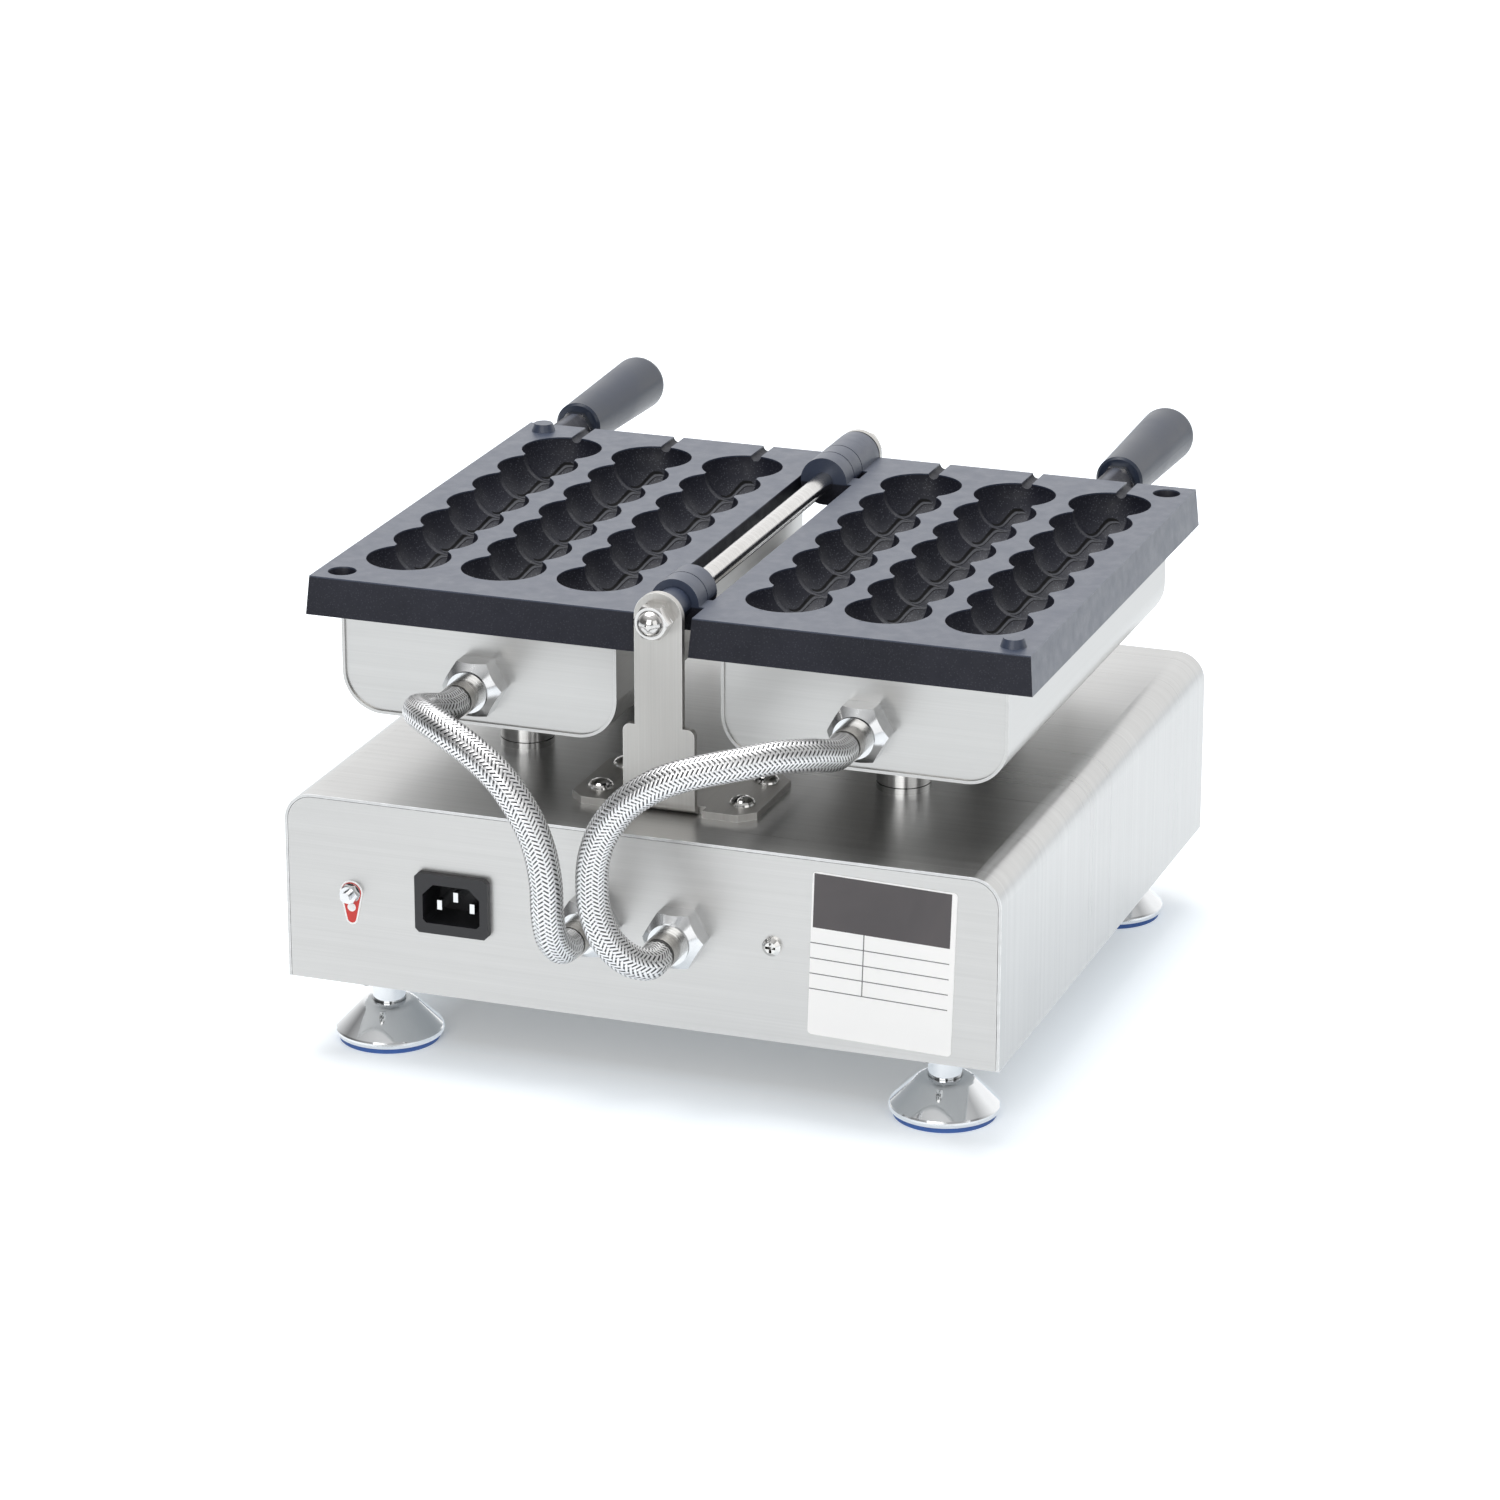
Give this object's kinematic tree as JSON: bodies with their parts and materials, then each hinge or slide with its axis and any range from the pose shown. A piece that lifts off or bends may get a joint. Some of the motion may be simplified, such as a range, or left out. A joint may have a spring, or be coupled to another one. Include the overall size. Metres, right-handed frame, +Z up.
{
  "type": "lollipop waffle maker",
  "caption": "Electric waffle maker for balls on sticks: moulded plates that fold and turn on a shaft above a stainless base with bell feet, knobs and braided hoses.",
  "frame": {"origin": "ground point under the middle of the whole, without the two hoses", "axes": "+Z up, -Y to the front where the grips and controls are, +X to the user's right"},
  "size_m": [0.3036, 0.4234, 0.2032],
  "materials": {
    "sheet_steel": "satin",
    "bracket_steel": "satin",
    "bright_steel": "polished",
    "nickel": "polished",
    "crimped_steel": "satin",
    "braid": "woven",
    "chrome": "polished",
    "pad_rubber": "matte",
    "cast_aluminium": "non-stick coating",
    "heater_steel": "satin",
    "wool": "matte",
    "black_plastic": "satin",
    "ceramic": "matte",
    "red_plastic": "gloss",
    "amber_plastic": "gloss"
  },
  "bodies": {
    "base": {"base_cover": "sheet_steel", "rear_panel": "sheet_steel", "front_panel": "sheet_steel", "bottom_plate": "sheet_steel", "foot_nuts": "bright_steel", "rear_bracket": "bracket_steel", "front_bracket": "bracket_steel", "bracket_screws": "bright_steel", "hinge_shaft": "bright_steel", "shaft_nuts": "bright_steel", "shaft_cap_nuts": "bright_steel", "rest_posts": "bright_steel", "post_screws": "bright_steel", "power_inlet": "black_plastic", "inlet_pins": "nickel", "earth_stud": "nickel", "earth_nuts": "nickel", "panel_screws": "bright_steel", "base_glands": "nickel", "base_ferrules": "crimped_steel", "right_hose": "braid", "left_hose": "braid", "thermostat": "ceramic", "timer": "black_plastic", "switch_frame": "black_plastic", "indicator_lamps": "amber_plastic", "terminal_block": "ceramic"},
    "right_half": {"right_plate": "cast_aluminium", "right_pan": "sheet_steel", "right_heater": "heater_steel", "right_heater_clamps": "bright_steel", "right_insulation": "wool", "right_grip": "black_plastic", "right_handle_stud": "bright_steel", "right_jam_nut": "bright_steel", "right_gland": "nickel", "right_ferrule": "crimped_steel", "right_pan_screws": "bright_steel"},
    "left_half": {"left_plate": "cast_aluminium", "left_pan": "sheet_steel", "left_heater": "heater_steel", "left_heater_clamps": "bright_steel", "left_insulation": "wool", "left_grip": "black_plastic", "left_handle_stud": "bright_steel", "left_jam_nut": "bright_steel", "left_gland": "nickel", "left_ferrule": "crimped_steel", "left_pan_screws": "bright_steel"},
    "timer_dial": {"timer_knob": "black_plastic"},
    "thermostat_dial": {"thermostat_knob": "black_plastic"},
    "switch_rocker": {"power_rocker": "red_plastic"},
    "front_right_leveller": {"front_right_foot": "chrome", "front_right_pad": "pad_rubber"},
    "front_left_leveller": {"front_left_foot": "chrome", "front_left_pad": "pad_rubber"},
    "rear_right_leveller": {"rear_right_foot": "chrome", "rear_right_pad": "pad_rubber"},
    "rear_left_leveller": {"rear_left_foot": "chrome", "rear_left_pad": "pad_rubber"}
  },
  "joints": [
    {"name": "right_half_hinge", "type": "hinge", "parent": "base", "child": "right_half", "pos_m": [0, 0.0245, 0.193], "axis": [0, -1, 0], "range_deg": [0, 180], "deforming": ["right_hose"]},
    {"name": "left_half_hinge", "type": "hinge", "parent": "base", "child": "left_half", "pos_m": [0, 0.0245, 0.193], "axis": [0, 1, 0], "range_deg": [0, 180], "deforming": ["left_hose"]},
    {"name": "timer_turn", "type": "hinge", "parent": "base", "child": "timer_dial", "pos_m": [0.082, -0.1185, 0.073], "axis": [0, 1, 0], "range_deg": [0, 300]},
    {"name": "thermostat_turn", "type": "hinge", "parent": "base", "child": "thermostat_dial", "pos_m": [-0.082, -0.1185, 0.073], "axis": [0, 1, 0], "range_deg": [0, 270]},
    {"name": "power_rocker_tip", "type": "hinge", "parent": "base", "child": "switch_rocker", "pos_m": [0, -0.1149, 0.073], "axis": [-1, 0, 0], "range_deg": [0, 18]},
    {"name": "front_right_foot_turn", "type": "hinge", "parent": "base", "child": "front_right_leveller", "pos_m": [0.119, -0.0895, 0.02], "axis": [0, 0, 1], "continuous": true},
    {"name": "front_left_foot_turn", "type": "hinge", "parent": "base", "child": "front_left_leveller", "pos_m": [-0.119, -0.0895, 0.02], "axis": [0, 0, 1], "continuous": true},
    {"name": "rear_right_foot_turn", "type": "hinge", "parent": "base", "child": "rear_right_leveller", "pos_m": [0.119, 0.1445, 0.02], "axis": [0, 0, 1], "continuous": true},
    {"name": "rear_left_foot_turn", "type": "hinge", "parent": "base", "child": "rear_left_leveller", "pos_m": [-0.119, 0.1445, 0.02], "axis": [0, 0, 1], "continuous": true}
  ]
}
